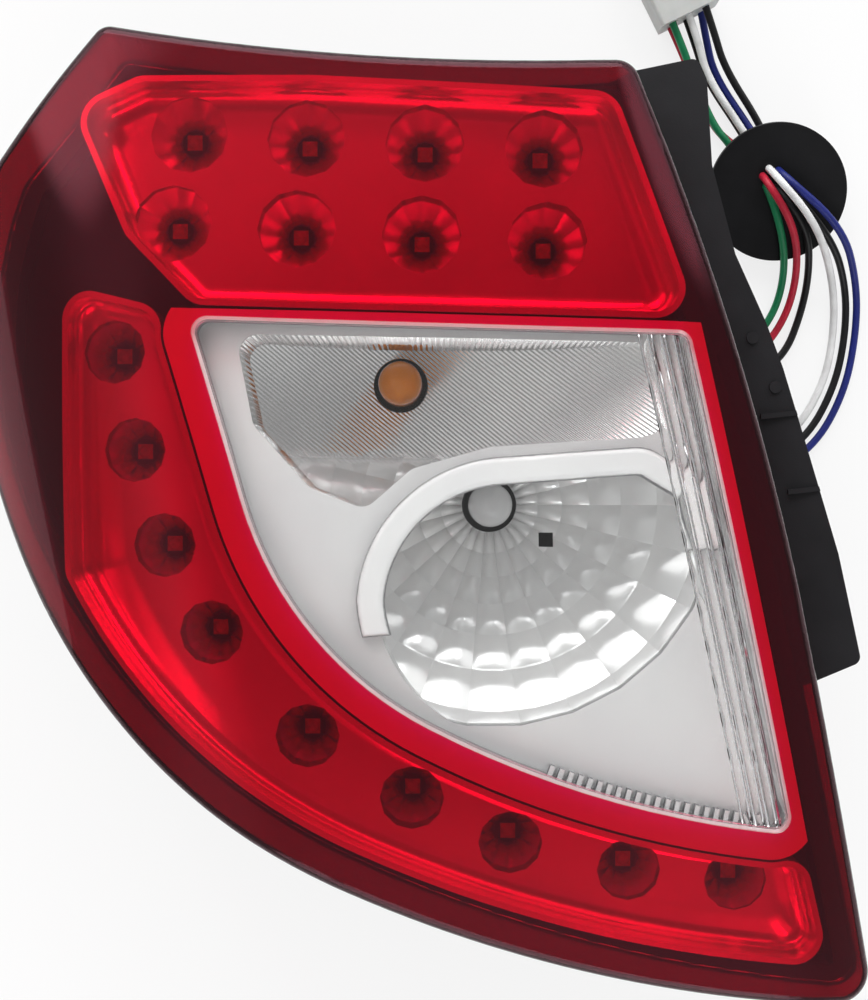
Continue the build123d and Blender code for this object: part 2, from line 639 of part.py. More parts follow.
def centre_reflector():
    """Bright moulding behind the window: land, facia, turn chamber, reverse bowl and shelf."""
    pocket = grow(WINDOW, -SHELL / 2)
    body = prism(CENTRE) & layer(RIM_GAP, CENTRE_FACE + SHELL)
    body -= prism(pocket) & layer(RIM_GAP - SHELL, CENTRE_FACE)
    hollow = grow(CENTRE, -SHELL) - grow(pocket, SHELL)
    body -= prism(hollow) & layer(RIM_GAP + SHELL, CENTRE_FACE + 2 * SHELL)
    under = below_face(CENTRE_FACE + SHELL / 2)
    chambers = ((TURN_BULB, TURN, TURN_FOCUS), (REVERSE_BULB, BOWL, REVERSE_FOCUS))
    for place, mouth, focus in chambers:
        body += chamber(place, mouth, focus, SHELL) & under
        body += tube(NECK_RADIUS, NECK_RADIUS - NECK_WALL, NECK_BOTTOM, CHAMBER_BOTTOM + SHELL, place)
    body -= chamber(TURN_BULB, TURN, TURN_FOCUS, 0.0) & below_face(SHELF_FACE - SHELL)
    bowl = faceted_bowl(REVERSE_BULB, CHAMBER_BOTTOM, REVERSE_FOCUS) & prism(BOWL)
    body -= bowl & below_face(SHELF_FACE - SHELL)
    body += shelf_bar()
    slot = Pos(*BOWL_SLOT, CHAMBER_BOTTOM) * Box(BOWL_SLOT_SIZE, BOWL_SLOT_SIZE, 2 * BULB_TOP)
    body -= slot & below_face(CENTRE_FACE)
    body += prism(window_teeth()) & layer(TOOTH_FACE, CENTRE_FACE + SHELL / 2)
    for place in (TURN_BULB, REVERSE_BULB):
        body -= disc(BULB_HOLE, NECK_BOTTOM, CHAMBER_BOTTOM + 2 * SHELL, place)
    return one_solid(body)


# Boards, LEDs and screws


def brake_board():
    """Board outline round the brake cups."""
    cups = brake_cups()
    last = BRAKE_CUP_COUNT - 1
    corners = (cups[0], cups[last], cups[-1], cups[BRAKE_CUP_COUNT])
    return grow(make_face(Polyline(*corners, close=True)), BOARD_MARGIN)


def board(region, screws):
    """Circuit board with its screw holes."""
    plate = prism(region, BOARD_TOP - BOARD_THICK, BOARD_TOP)
    for place in screws:
        plate -= disc(SCREW_RADIUS, BOARD_TOP - BOARD_THICK, BOARD_TOP, place)
    return one_solid(plate)


def led(place):
    """Surface-mounted LED with a low faceted lens."""
    body = Box(LED_SIZE, LED_SIZE, LED_HEIGHT, align=BOTTOM_UP)
    dome = extrude(RegularPolygon(LED_SIZE / 2, CUP_SIDES), amount=LED_DOME, taper=LED_TAPER)
    return Pos(place[0], place[1], BOARD_TOP) * (body + Pos(0, 0, LED_HEIGHT) * dome)


def screw(place):
    """Pan-head screw through a board into its post."""
    head = disc(SCREW_HEAD_RADIUS, BOARD_TOP, BOARD_TOP + SCREW_HEAD, place)
    return head + disc(SCREW_RADIUS, BOARD_TOP - SCREW_LENGTH, BOARD_TOP, place)


# Mounting


def stud(place):
    """Stud with a plain collar through its washer and a hexagon head moulded into its boss."""
    shank = disc(STUD_RADIUS, -STUD_LENGTH, 0, place)
    shank = chamfer(shank.edges().group_by(Axis.Z)[0], STUD_TIP)
    collar = disc(STUD_COLLAR, 0, WASHER + STUD_SINK, place)
    head = Pos(place[0], place[1], WASHER + STUD_SINK - STUD_HEAD)
    head = extrude(head * RegularPolygon(STUD_HEAD_RADIUS, STUD_HEAD_SIDES), amount=STUD_HEAD)
    return shank + collar + head


def boss(place):
    """Boss of one stud with its cross of gussets, from the mounting face up into the tub."""
    post = disc(BOSS_RADIUS, WASHER, SOLID_HIGH, place)
    for turn in (0, 90):
        web = Box(2 * GUSSET_REACH, GUSSET, SOLID_HIGH, align=BOTTOM_UP)
        post += Pos(place[0], place[1], WASHER + BACK) * Rot(0, 0, turn + LEAN) * web
    return post


# Housing


def back_ribs():
    """Stiffening ribs across the back of the tub."""
    slab = part_layer(TUB_DEPTH - HOUSING_WALL, TUB_DEPTH + BACK_RIB_HEIGHT)
    slab &= prism(grow(LENS, -2 * TUB_INSET))
    ribs = []
    for number in range(BACK_RIBS):
        y = BACK_RIB_FIRST + number * BACK_RIB_PITCH
        bar = Pos(0, y, 0) * Box(2 * SECTION_REACH, GUSSET, 2 * SOLID_HIGH)
        ribs.append(slab & bar)
    return ribs


def inboard_flange():
    """Flat flange beside the lens, with two ribs and two pips."""
    region = rounded(FLANGE, FLANGE_ROUND)
    plate = prism(region) & part_layer(FLANGE_DROP, FLANGE_DROP + FLANGE_THICK)
    length, width, height = FLANGE_RIB
    for place in FLANGE_RIBS:
        top = parting_height(place, FLANGE_DROP)
        rib = Pos(place[0], place[1], top) * Rot(0, 0, LEAN / 2) * Box(length, width, 2 * height)
        plate += rib & prism(region)
    for place in FLANGE_PIPS:
        top = parting_height(place, FLANGE_DROP)
        plate += disc(PIP_RADIUS, top - PIP_HEIGHT, top + PIP_HEIGHT, place)
    return plate


def housing(studs, screws, gland_cut):
    """Black moulding: sloped tub, bulb box, lens rim, stud bosses and inboard flange."""
    cavity = prism(grow(LENS, -TUB_INSET - HOUSING_WALL)) - below_parting(TUB_DEPTH - HOUSING_WALL)
    body = prism(grow(LENS, -TUB_INSET)) & part_layer(0.0, TUB_DEPTH)
    body += prism(grow(LENS, RIM_LIP)) & part_layer(0.0, RIM_DEPTH)
    body += inboard_flange()
    roof = below_parting(TUB_DEPTH - HOUSING_WALL)
    box_height = SOLID_HIGH - BACK
    box_outer = extrude(Pos(0, 0, BACK) * BOX, amount=box_height, taper=-BULB_BOX_DRAFT)
    body += box_outer & roof
    for place in STUDS:
        body += boss(place) & roof
    for rib in back_ribs():
        body += rib
    body -= cavity
    inner_box = extrude(Pos(0, 0, BACK + HOUSING_WALL) * grow(BOX, -HOUSING_WALL), amount=box_height,
                        taper=-BULB_BOX_DRAFT)
    body -= inner_box & below_parting(0.0)
    for place in BRAKE_SCREWS + TAIL_SCREWS:
        post = disc(POST_RADIUS, BACK + HOUSING_WALL / 2, BOARD_TOP - BOARD_THICK, place)
        body += post - below_parting(TUB_DEPTH - HOUSING_WALL / 2)
    for place in (TURN_BULB, REVERSE_BULB):
        body += tube(NECK_RADIUS, NECK_RADIUS - NECK_WALL, BACK + HOUSING_WALL / 2, NECK_BOTTOM, place)
        body -= disc(HOLDER_HOLE, BACK - HOUSING_WALL, BACK + 2 * HOUSING_WALL, place)
        for spot in lugs(place, HOLDER_FIT, 0.0):
            body -= spot
    body -= gland_cut
    body -= disc(VENT_STEM, BACK - HOUSING_WALL, BACK + 2 * HOUSING_WALL, VENT)
    for item in (*studs, *screws):
        body -= item
    return body - bead_ring()


def bead_ring():
    """Sealing bead under the foot of the lens wall."""
    middle = LENS_WALL / 2
    outer, inner = grow(LENS, -middle + BEAD_WIDTH / 2), grow(LENS, -middle - BEAD_WIDTH / 2)
    return prism(outer - inner) & part_layer(0.0, BEAD_DEPTH)


# Bulbs, holders and seals


def bulb(place):
    """Wedge-base bulb: a domed glass with a flat pinched foot."""
    glass = disc(BULB_RADIUS, BULB_SHOULDER, BULB_TOP, place)
    glass = fillet(glass.edges().group_by(Axis.Z)[-1], BULB_ROUND)
    foot = Box(BULB_BASE[0], BULB_BASE[1], BULB_SHOULDER - BULB_BASE_BOTTOM, align=BOTTOM_UP)
    return glass + Pos(place[0], place[1], BULB_BASE_BOTTOM) * foot


def lugs(place, fit, turn):
    """Bayonet lugs of a holder, or with a fit and no turn the keyways they pass through."""
    shapes = []
    for number in range(LUGS):
        height = LUG_HEIGHT + (BACK + 2 * HOUSING_WALL if fit else 0.0)
        low = -HOUSING_WALL if fit else BACK + HOUSING_WALL + HOLDER_FIT
        bar = Pos(LUG_REACH / 2 + fit, 0, low) * Box(LUG_REACH, LUG_WIDTH + 2 * fit, height, align=BOTTOM_UP)
        shapes.append(Pos(place[0], place[1], 0) * Rot(0, 0, turn + number * 360 / LUGS) * bar)
    return shapes


def holder(place, glass, wires):
    """Twist-lock bulb holder: socket, lugs, flange and winged knob."""
    flange_top = BACK - SEAL_THICK
    flange_low = flange_top - HOLDER_FLANGE_THICK
    body = disc(SOCKET_RADIUS, flange_low, SOCKET_TOP, place)
    body += disc(HOLDER_FLANGE, flange_low, flange_top, place)
    body += disc(KNOB_RADIUS, KNOB_BOTTOM, flange_low, place)
    wings = Box(KNOB_WINGS[0], KNOB_WINGS[1], flange_low - KNOB_BOTTOM, align=BOTTOM_UP)
    body += Pos(place[0], place[1], KNOB_BOTTOM) * Rot(0, 0, 90) * wings
    for lug in lugs(place, 0.0, 180 / LUGS):
        body += lug
    body -= glass
    for wire in wires:
        body -= wire
    return one_solid(body)


def holder_seal(place):
    """Flat rubber ring between a holder and the housing."""
    return tube(SEAL_OUTER, SEAL_INNER, BACK - SEAL_THICK, BACK, place)


def gland_body():
    """Rubber gland of the LED wires: flange outside, stem through the wall, lip inside."""
    low = BACK - GLAND_FLANGE_THICK
    return disc(GLAND_FLANGE, low, BACK, GLAND) + disc(GLAND_RADIUS, low, GLAND_TOP, GLAND)


def vent_cap():
    """Breather cap on the back of the bulb box."""
    cap = disc(VENT_RADIUS, BACK - VENT_HEIGHT, BACK, VENT)
    cap = fillet(cap.edges().group_by(Axis.Z)[0], VENT_ROUND)
    return cap + disc(VENT_STEM, BACK, BACK + HOUSING_WALL + VENT_STEM_PROUD, VENT)


# Harness


def wire(name):
    """Wire along its route: straight runs joined by arcs as large as the runs allow."""
    points = [Vector(*point) for point in WIRES[name]]
    runs = [after - before for before, after in zip(points, points[1:])]
    radii = []
    for before, after in zip(runs, runs[1:]):
        half = math.radians(before.get_angle(after)) / 2
        radii.append(BEND_SHARE * min(before.length, after.length) / math.tan(half))
    path = FilletPolyline(*points, radius=radii)
    start = Plane(origin=path @ 0, z_dir=path % 0)
    cord = sweep(start * Circle(WIRE_RADIUS), path=path)
    share = cord.volume / (math.pi * WIRE_RADIUS**2 * path.length)
    print(name, "length", round(path.length, 1), "volume over section x length", round(share, 4),
          "radii", [round(radius, 1) for radius in radii])
    return cord


def grommet(wires):
    """Body grommet: a rubber disc with a groove round its edge, gripped on the six wires."""
    front, back = GROMMET_HALF, -GROMMET_HALF
    flat = disc(GROMMET_GROOVE, back, front)
    flat += disc(GROMMET_RADIUS, front - GROMMET_LIP, front)
    flat += disc(GROMMET_BACK_RADIUS, back, back + GROMMET_LIP)
    placed = Pos(*GROMMET_PLACE) * Rot(GROMMET_TILT, 0, 0) * flat
    for cord in wires:
        placed -= cord
    return one_solid(placed)


def connector(wires, pins):
    """Plug shell: open socket at the mating end, latch on top, wires at the other end."""
    width, length, height = CONNECTOR_SIZE
    align = (Align.CENTER, Align.MIN, Align.CENTER)
    shell = Box(width, length, height, align=align)
    shell = fillet(shell.edges().filter_by(Axis.Y), CONNECTOR_ROUND)
    socket_width, socket_depth, socket_height = CONNECTOR_SOCKET
    shell -= Pos(0, length - socket_depth, 0) * Box(socket_width, socket_depth, socket_height, align=align)
    latch_place = Pos(0, length - LATCH[1], (height + LATCH[2]) / 2 - LATCH_SINK)
    shell = connector_place() * (shell + latch_place * Box(*LATCH, align=align))
    for item in (*wires, *pins):
        shell -= item
    return one_solid(shell)


def connector_place():
    """Where the connector's wire face is, with its length along local Y."""
    return Pos(*CONNECTOR_FACE) * Rot(0, 0, CONNECTOR_TURN)


def terminal(name, cord):
    """Contact pin from a wire's end to the open socket."""
    local = connector_place().inverse() * Pos(*WIRES[name][-1])
    start = local.position
    length = PIN_END - start.Y
    pin = Box(PIN_SIZE, length, PIN_SIZE, align=(Align.CENTER, Align.MIN, Align.CENTER))
    return one_solid(connector_place() * Pos(start.X, start.Y, start.Z) * pin - cord)


def save(name, *shapes):
    """Writes one node, of one solid or a group of them, in the part's own frame."""
    solids = [solid for shape in shapes for solid in shape.solids()]
    moved = [Pos(-MAIN_STUD[0], -MAIN_STUD[1], 0) * solid for solid in solids]
    node = moved[0] if len(moved) == 1 else Compound(children=moved)
    export_step(node, os.path.join("parts", name + ".step"))


def main():
    os.makedirs("parts", exist_ok=True)
    shell = lens_shell()
    save("lens_red", one_solid(shell - prism(WINDOW)))
    save("lens_clear_window", clear_window(shell))
    save("brake_reflector", cupped_tray(BRAKE, BRAKE_FLOOR, BRAKE_SWEEP, brake_cups(), BRAKE_CUP_RADIUS))
    save("tail_reflector", cupped_tray(TAIL, TAIL_FLOOR, TAIL_SWEEP, TAIL_CUPS, TAIL_CUP_RADIUS))
    save("centre_reflector", centre_reflector())
    save("brake_led_board", board(brake_board(), BRAKE_SCREWS))
    save("tail_led_board", board(grow(TAIL, -TAIL_BOARD_INSET), TAIL_SCREWS))
    save("brake_leds", *[led(place) for place in brake_cups()])
    save("tail_leds", *[led(place) for place in TAIL_CUPS])
    screws = [screw(place) for place in BRAKE_SCREWS + TAIL_SCREWS]
    save("board_screws", *screws)
    studs = [stud(place) for place in STUDS]
    save("mounting_studs", *studs)
    save("stud_washers", *[tube(WASHER_RADIUS, STUD_COLLAR, 0, WASHER, place) for place in STUDS])
    cords = {name: wire(name) for name in WIRES}
    for name, cord in cords.items():
        save(name, cord)
    turn_glass, reverse_glass = bulb(TURN_BULB), bulb(REVERSE_BULB)
    save("turn_bulb", turn_glass)
    save("reverse_bulb", reverse_glass)
    turn_wires = (cords["wire_black_turn"], cords["wire_white"])
    save("turn_bulb_holder", holder(TURN_BULB, turn_glass, turn_wires))
    reverse_wires = (cords["wire_black_reverse"], cords["wire_blue"])
    save("reverse_bulb_holder", holder(REVERSE_BULB, reverse_glass, reverse_wires))
    save("holder_seals", holder_seal(TURN_BULB), holder_seal(REVERSE_BULB))
    save("led_wire_gland", one_solid(gland_body() - cords["wire_green"] - cords["wire_red"]))
    save("vent_cap", vent_cap())
    save("lens_sealing_bead", bead_ring())
    save("housing", one_solid(housing(studs, screws, disc(GLAND_RADIUS, BACK, GLAND_TOP, GLAND))))
    save("body_grommet", grommet(cords.values()))
    pins = [terminal(name, cord) for name, cord in cords.items()]
    save("connector_terminals", *pins)
    save("connector_shell", connector(cords.values(), pins))


main()
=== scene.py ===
import math

import bmesh
import bpy
from mathutils import Matrix, Vector

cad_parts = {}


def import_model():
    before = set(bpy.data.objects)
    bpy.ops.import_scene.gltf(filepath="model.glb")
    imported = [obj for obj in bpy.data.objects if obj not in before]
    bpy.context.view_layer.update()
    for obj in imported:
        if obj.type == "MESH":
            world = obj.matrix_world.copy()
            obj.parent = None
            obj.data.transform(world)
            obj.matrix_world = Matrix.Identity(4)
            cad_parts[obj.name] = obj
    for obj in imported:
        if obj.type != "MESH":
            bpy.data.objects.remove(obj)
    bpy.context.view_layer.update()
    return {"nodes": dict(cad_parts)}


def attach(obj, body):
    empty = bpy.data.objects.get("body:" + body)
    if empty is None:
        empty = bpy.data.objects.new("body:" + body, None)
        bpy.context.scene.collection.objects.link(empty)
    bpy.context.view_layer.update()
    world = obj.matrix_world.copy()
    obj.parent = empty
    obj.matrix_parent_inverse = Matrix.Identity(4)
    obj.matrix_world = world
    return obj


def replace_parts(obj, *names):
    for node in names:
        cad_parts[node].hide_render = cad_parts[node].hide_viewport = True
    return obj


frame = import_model()
NODES = frame["nodes"]
SCENE = bpy.context.scene
SCENE.view_settings.view_transform = "Standard"

# Plan places below are measured from the middle of the lens, in millimetres
MAIN_STUD = (75.0, 95.0)
TURN_BULB = (-11.6, 40.0)
REVERSE_BULB = (19.3, -1.7)
FLOOR = -24.0

# The lens's outer surface: its top, its lean in plan, the middle and radius of its face arc, and its crown
FACE_TOP = 96.0
LEAN = math.radians(12.5)
FACE_MIDDLE = 20.0
FACE_RADIUS = 1200.0
CROWN_RADIUS = 700.0

# The reverse bowl: facets in a ring, radius of the first ring, its width, and by how much the rings widen
BOWL_FACETS = 26
BOWL_START = 9.8
RING_WIDTH = 6.7
RING_GROWTH = 0.47


def place(x, y, z):
    """A place by the middle of the lens, in millimetres, as a point of the part's frame in metres."""
    return Vector(((x - MAIN_STUD[0]) / 1000, (y - MAIN_STUD[1]) / 1000, z / 1000))


# Camera: straight above the middle of the lens, top of the lamp at the top of the picture
CAMERA_HEIGHT = 600.0
FOCAL_SHARE = 1.92
SENSOR = 24.0
lens_data = bpy.data.cameras.new("camera")
lens_data.sensor_fit = "VERTICAL"
lens_data.sensor_height = SENSOR
lens_data.lens = FOCAL_SHARE * SENSOR
lens_data.clip_start = 0.01
camera = bpy.data.objects.new("camera", lens_data)
camera.location = place(0, 0, FACE_TOP + CAMERA_HEIGHT)
SCENE.collection.objects.link(camera)
SCENE.camera = camera


# Materials

# Heights of the noise where a drifting colour reaches its low and its high tone
TONE_STOPS = (0.3, 0.7)


class Look:
    """A material under way: its tree, its main shader and a few ways to add nodes."""

    def __init__(self, name, colour, rough, **values):
        self.material = bpy.data.materials.new(name)
        self.material.use_nodes = True
        self.tree = self.material.node_tree
        self.shader = self.tree.nodes["Principled BSDF"]
        self.set("Base Color", (*colour, 1.0))
        self.set("Roughness", rough)
        for key, value in values.items():
            self.set(key.replace("_", " "), value)

    def set(self, socket, value):
        self.shader.inputs[socket].default_value = value

    def node(self, kind, **values):
        made = self.tree.nodes.new(kind)
        for key, value in values.items():
            setattr(made, key, value)
        return made

    def link(self, source, target):
        self.tree.links.new(source, target)

    def coordinates(self):
        """Place in the part's own frame, in metres."""
        return self.node("ShaderNodeTexCoord").outputs["Object"]

    def plan(self):
        """Place by the middle of the lens, in millimetres, as three outputs."""
        mapping = self.node("ShaderNodeMapping")
        mapping.inputs["Location"].default_value = (*MAIN_STUD, 0)
        mapping.inputs["Scale"].default_value = (1000, 1000, 1000)
        self.link(self.coordinates(), mapping.inputs["Vector"])
        split = self.node("ShaderNodeSeparateXYZ")
        self.link(mapping.outputs["Vector"], split.inputs["Vector"])
        return split.outputs["X"], split.outputs["Y"], split.outputs["Z"]

    def steep(self, low, high):
        """0 on faces that look up or down and 1 on upright walls, by the upright part of the normal."""
        split = self.node("ShaderNodeSeparateXYZ")
        self.link(self.node("ShaderNodeNewGeometry").outputs["Normal"], split.inputs["Vector"])
        facing = self.math("ABSOLUTE", split.outputs["Z"])
        return self.math("SUBTRACT", 1.0, self.step(facing, low, high))

    def math(self, kind, first, second=0.0):
        """One step of arithmetic on two values, each a number or the output of a node."""
        made = self.node("ShaderNodeMath", operation=kind)
        for socket, value in zip(made.inputs, (first, second)):
            if isinstance(value, (int, float)):
                socket.default_value = value
            else:
                self.link(value, socket)
        return made.outputs["Value"]

    def along(self, x, y, turn):
        """Distance along a plan direction at a turn from x."""
        parts = self.math("MULTIPLY", x, math.cos(turn)), self.math("MULTIPLY", y, math.sin(turn))
        return self.math("ADD", *parts)

    def step(self, value, low, high):
        """Smooth step from 0 at one value to 1 at another."""
        made = self.node("ShaderNodeMapRange", interpolation_type="SMOOTHSTEP")
        made.inputs["From Min"].default_value = low
        made.inputs["From Max"].default_value = high
        self.link(value, made.inputs["Value"])
        return made.outputs["Result"]

    def noise(self, scale, detail):
        made = self.node("ShaderNodeTexNoise")
        made.inputs["Scale"].default_value = scale
        made.inputs["Detail"].default_value = detail
        self.link(self.coordinates(), made.inputs["Vector"])
        return made.outputs["Fac"]

    def remap(self, value, low, high):
        """Straight run from one value at 0 to another at 1."""
        made = self.node("ShaderNodeMapRange")
        made.inputs["To Min"].default_value = low
        made.inputs["To Max"].default_value = high
        self.link(value, made.inputs["Value"])
        return made.outputs["Result"]

    def bump(self, height, depth, strength=1.0):
        """Adds a bump of a depth in metres, on top of any bump that is there."""
        made = self.node("ShaderNodeBump")
        made.inputs["Distance"].default_value = depth
        made.inputs["Strength"].default_value = strength
        self.link(height, made.inputs["Height"])
        before = self.shader.inputs["Normal"].links
        if before:
            self.link(before[0].from_socket, made.inputs["Normal"])
        self.link(made.outputs["Normal"], self.shader.inputs["Normal"])

    def vary(self, value, low, high):
        """Colour that drifts between two tones."""
        made = self.node("ShaderNodeValToRGB")
        for stop, at, tone in zip(made.color_ramp.elements, TONE_STOPS, (low, high)):
            stop.position = at
            stop.color = (*tone, 1.0)
        self.link(value, made.inputs["Fac"])
        self.link(made.outputs["Color"], self.shader.inputs["Base Color"])

    def tint(self, share, colour):
        """Moves the base colour towards another one by a share."""
        mix = self.node("ShaderNodeMix", data_type="RGBA")
        mix.inputs["A"].default_value = self.shader.inputs["Base Color"].default_value
        mix.inputs["B"].default_value = (*colour, 1.0)
        self.link(share, mix.inputs["Factor"])
        before = self.shader.inputs["Base Color"].links
        if before:
            self.link(before[0].from_socket, mix.inputs["A"])
        self.link(mix.outputs["Result"], self.shader.inputs["Base Color"])

    def rough(self, value, low, high):
        self.link(self.remap(value, low, high), self.shader.inputs["Roughness"])

    def darkens(self, colour, density):
        """Long paths inside the piece lose light, so its edges are deeper in colour than its faces."""
        inside = self.node("ShaderNodeVolumeAbsorption")
        inside.inputs["Color"].default_value = (*colour, 1.0)
        inside.inputs["Density"].default_value = density
        self.link(inside.outputs["Volume"], self.tree.nodes["Material Output"].inputs["Volume"])

    def turns_up(self, share):
        """Leans the surface's normal towards straight up by a share, as stepped facets do."""
        mix = self.node("ShaderNodeMix", data_type="VECTOR")
        mix.inputs["B"].default_value = (0, 0, 1)
        even = self.node("ShaderNodeVectorMath", operation="NORMALIZE")
        self.link(share, mix.inputs["Factor"])
        self.link(self.node("ShaderNodeNewGeometry").outputs["Normal"], mix.inputs["A"])
        self.link(mix.outputs["Result"], even.inputs[0])
        self.link(even.outputs["Vector"], self.shader.inputs["Normal"])

    def lets_light_through(self, colour):
        """Lamps shine through: shadow rays meet a clear tint in place of the glass."""
        light = self.node("ShaderNodeLightPath")
        clear = self.node("ShaderNodeBsdfTransparent")
        clear.inputs["Color"].default_value = (*colour, 1.0)
        mix = self.node("ShaderNodeMixShader")
        self.link(light.outputs["Is Shadow Ray"], mix.inputs[0])
        self.link(self.shader.outputs["BSDF"], mix.inputs[1])
        self.link(clear.outputs["BSDF"], mix.inputs[2])
        self.link(mix.outputs["Shader"], self.tree.nodes["Material Output"].inputs["Surface"])


def red_lens():
    """Clear red face with reddish reflections, and side walls in a darker red that is painted shade."""
    look = Look("red_acrylic", (0.84, 0.012, 0.16), 0.03, IOR=1.49, Transmission_Weight=1.0,
                Specular_Tint=(1.0, 0.4, 0.5, 1.0))
    # The side walls are tinted a darker red: painted shade for the shadowed floor seen through them
    look.tint(look.steep(0.25, 0.60), (0.28, 0.004, 0.05))
    look.rough(look.noise(90, 4), 0.02, 0.06)
    look.bump(look.noise(28, 2), 0.0001, 0.15)
    look.lets_light_through((0.92, 0.20, 0.24))
    look.darkens((0.80, 0.0, 0.0), 130.0)
    return look.material


def clear_lens():
    look = Look("clear_acrylic", (0.97, 0.975, 0.975), 0.02, IOR=1.49, Transmission_Weight=1.0)
    look.rough(look.noise(90, 4), 0.01, 0.04)
    look.bump(look.noise(28, 2), 0.0001, 0.12)
    look.lets_light_through((0.95, 0.95, 0.95))
    return look.material


def bright_metal(name):
    """Metallised plastic: bright and slightly wavy."""
    look = Look(name, (0.94, 0.94, 0.93), 0.2, Metallic=1.0)
    look.vary(look.noise(30, 3), (0.91, 0.91, 0.91), (0.97, 0.97, 0.96))
    return look


def bright_band():
    """Bright moulding behind the red lens."""
    look = bright_metal("bright_band")
    look.set("Metallic", 0.86)
    look.rough(look.noise(55, 4), 0.14, 0.26)
    look.bump(look.noise(45, 1), 0.0003, 0.4)
    return look.material


def face_depth(look, x, y, z):
    """Depth below the lens's outer surface, in millimetres, from its two arcs."""
    across = look.math("SUBTRACT", look.along(x, y, LEAN), FACE_MIDDLE)
    along = look.along(x, y, LEAN + math.pi / 2)
    sag = look.math("ADD", look.math("DIVIDE", look.math("POWER", across, 2.0), 2 * FACE_RADIUS),
                    look.math("DIVIDE", look.math("POWER", along, 2.0), 2 * CROWN_RADIUS))
    return look.math("SUBTRACT", look.math("SUBTRACT", FACE_TOP, sag), z)


def pillows(look, x, y):
    """Height of the pillow optics on the bowl's facets, in rings round the reverse bulb."""
    across = look.math("SUBTRACT", x, REVERSE_BULB[0])
    up = look.math("SUBTRACT", y, REVERSE_BULB[1])
    turn = look.math("MULTIPLY", look.math("ARCTAN2", up, across), BOWL_FACETS / (2 * math.pi))
    squares = look.math("ADD", look.math("POWER", across, 2.0), look.math("POWER", up, 2.0))
    out = look.math("SUBTRACT", look.math("SQRT", squares), BOWL_START)
    # The rings widen outwards, so the number of a ring is the root of a quadratic
    root = look.math("SQRT", look.math("ADD", look.math("MULTIPLY", out, 4 * RING_GROWTH), RING_WIDTH**2))
    ring = look.math("DIVIDE", look.math("SUBTRACT", root, RING_WIDTH), 2 * RING_GROWTH)
    sides = [look.math("SUBTRACT", look.math("FRACT", value), 0.5) for value in (turn, ring)]
    sags = [look.math("POWER", side, 2.0) for side in sides]
    return look.math("SUBTRACT", 0.0, look.math("ADD", *sags))


# Depths below the lens where the rim ends and where the chambers begin, the height in plan where the turn
# chamber begins, and the turn and pitch of its ribs
RIM_END = (11.0, 13.0)
CHAMBER_START = (14.4, 15.6)
TURN_START = (10.0, 18.0)
RIB_TURN = math.radians(50)
RIB_PITCH = 1.2


def bright_centre():
    """Bright moulding behind the window: satin facia with painted shade on its upright walls, glossy bowl
    and a finely ribbed turn chamber.
    """
    look = bright_metal("bright_centre")
    x, y, z = look.plan()
    depth = face_depth(look, x, y, z)
    below = look.step(depth, *RIM_END)
    inside = look.step(depth, *CHAMBER_START)
    turn = look.math("MULTIPLY", inside, look.step(y, *TURN_START))
    bowl = look.math("SUBTRACT", inside, turn)
    # Upright walls of the facia are tinted dark grey: painted shade that deepens its gaps, teeth and edges
    shaded_walls = look.math("MULTIPLY", look.steep(0.35, 0.80), look.math("SUBTRACT", 1.0, inside))
    look.tint(shaded_walls, (0.22, 0.22, 0.23))
    grain = look.remap(look.noise(55, 4), -0.04, 0.06)
    look.link(look.math("ADD", look.remap(inside, 0.38, 0.17), grain), look.shader.inputs["Roughness"])
    shine = look.math("ADD", look.remap(below, 0.22, 0.62), look.remap(bowl, 0.0, -0.26))
    look.link(look.math("ADD", shine, look.remap(turn, 0.0, 0.36)), look.shader.inputs["Metallic"])
    look.turns_up(look.math("ADD", look.remap(bowl, 0.0, 0.36), look.remap(turn, 0.0, 0.42)))
    look.bump(look.noise(45, 1), 0.0003, 0.4)
    slant = look.along(x, y, RIB_TURN)
    ribs = look.math("SINE", look.math("MULTIPLY", slant, 2 * math.pi / RIB_PITCH))
    look.bump(look.math("MULTIPLY", ribs, turn), 0.00012, 0.7)
    look.bump(look.math("MULTIPLY", pillows(look, x, y), bowl), 0.0034)
    return look.material


def black_plastic(name, tone, rough):
    look = Look(name, tone, rough, Specular_IOR_Level=0.22)
    low = tuple(0.8 * part for part in tone)
    high = tuple(1.3 * part for part in tone)
    look.vary(look.noise(40, 4), low, high)
    look.rough(look.noise(120, 4), rough - 0.06, rough + 0.08)
    look.bump(look.noise(1800, 3), 0.00008, 0.5)
    return look.material


def rubber(name, tone):
    look = Look(name, tone, 0.62, Specular_IOR_Level=0.2)
    low = tuple(0.75 * part for part in tone)
    high = tuple(1.5 * part for part in tone)
    look.vary(look.noise(60, 5), low, high)
    look.rough(look.noise(90, 4), 0.5, 0.75)
    look.bump(look.noise(900, 4), 0.0001, 0.4)
    return look.material


def sleeve(name, tone):
    """Wire sleeve: satin, with faint lengthwise mottling."""
    look = Look(name, tone, 0.42, Specular_IOR_Level=0.35)
    low = tuple(0.85 * part for part in tone)
    high = tuple(min(1.0, 1.12 * part) for part in tone)
    look.vary(look.noise(140, 3), low, high)
    look.rough(look.noise(220, 3), 0.34, 0.5)
    look.bump(look.noise(700, 2), 0.00006, 0.35)
    return look.material


def steel():
    look = Look("zinc_steel", (0.62, 0.62, 0.60), 0.34, Metallic=1.0)
    look.vary(look.noise(160, 4), (0.50, 0.50, 0.47), (0.70, 0.70, 0.68))
    look.rough(look.noise(300, 4), 0.26, 0.45)
    return look.material


def glass(name, tone, rough, clear):
    look = Look(name, tone, rough, IOR=1.5, Transmission_Weight=clear)
    look.rough(look.noise(200, 2), rough, rough + 0.03)
    look.lets_light_through(tone)
    return look.material


def tungsten():
    look = Look("tungsten", (0.40, 0.39, 0.37), 0.35, Metallic=1.0)
    look.rough(look.noise(900, 3), 0.28, 0.5)
    return look.material


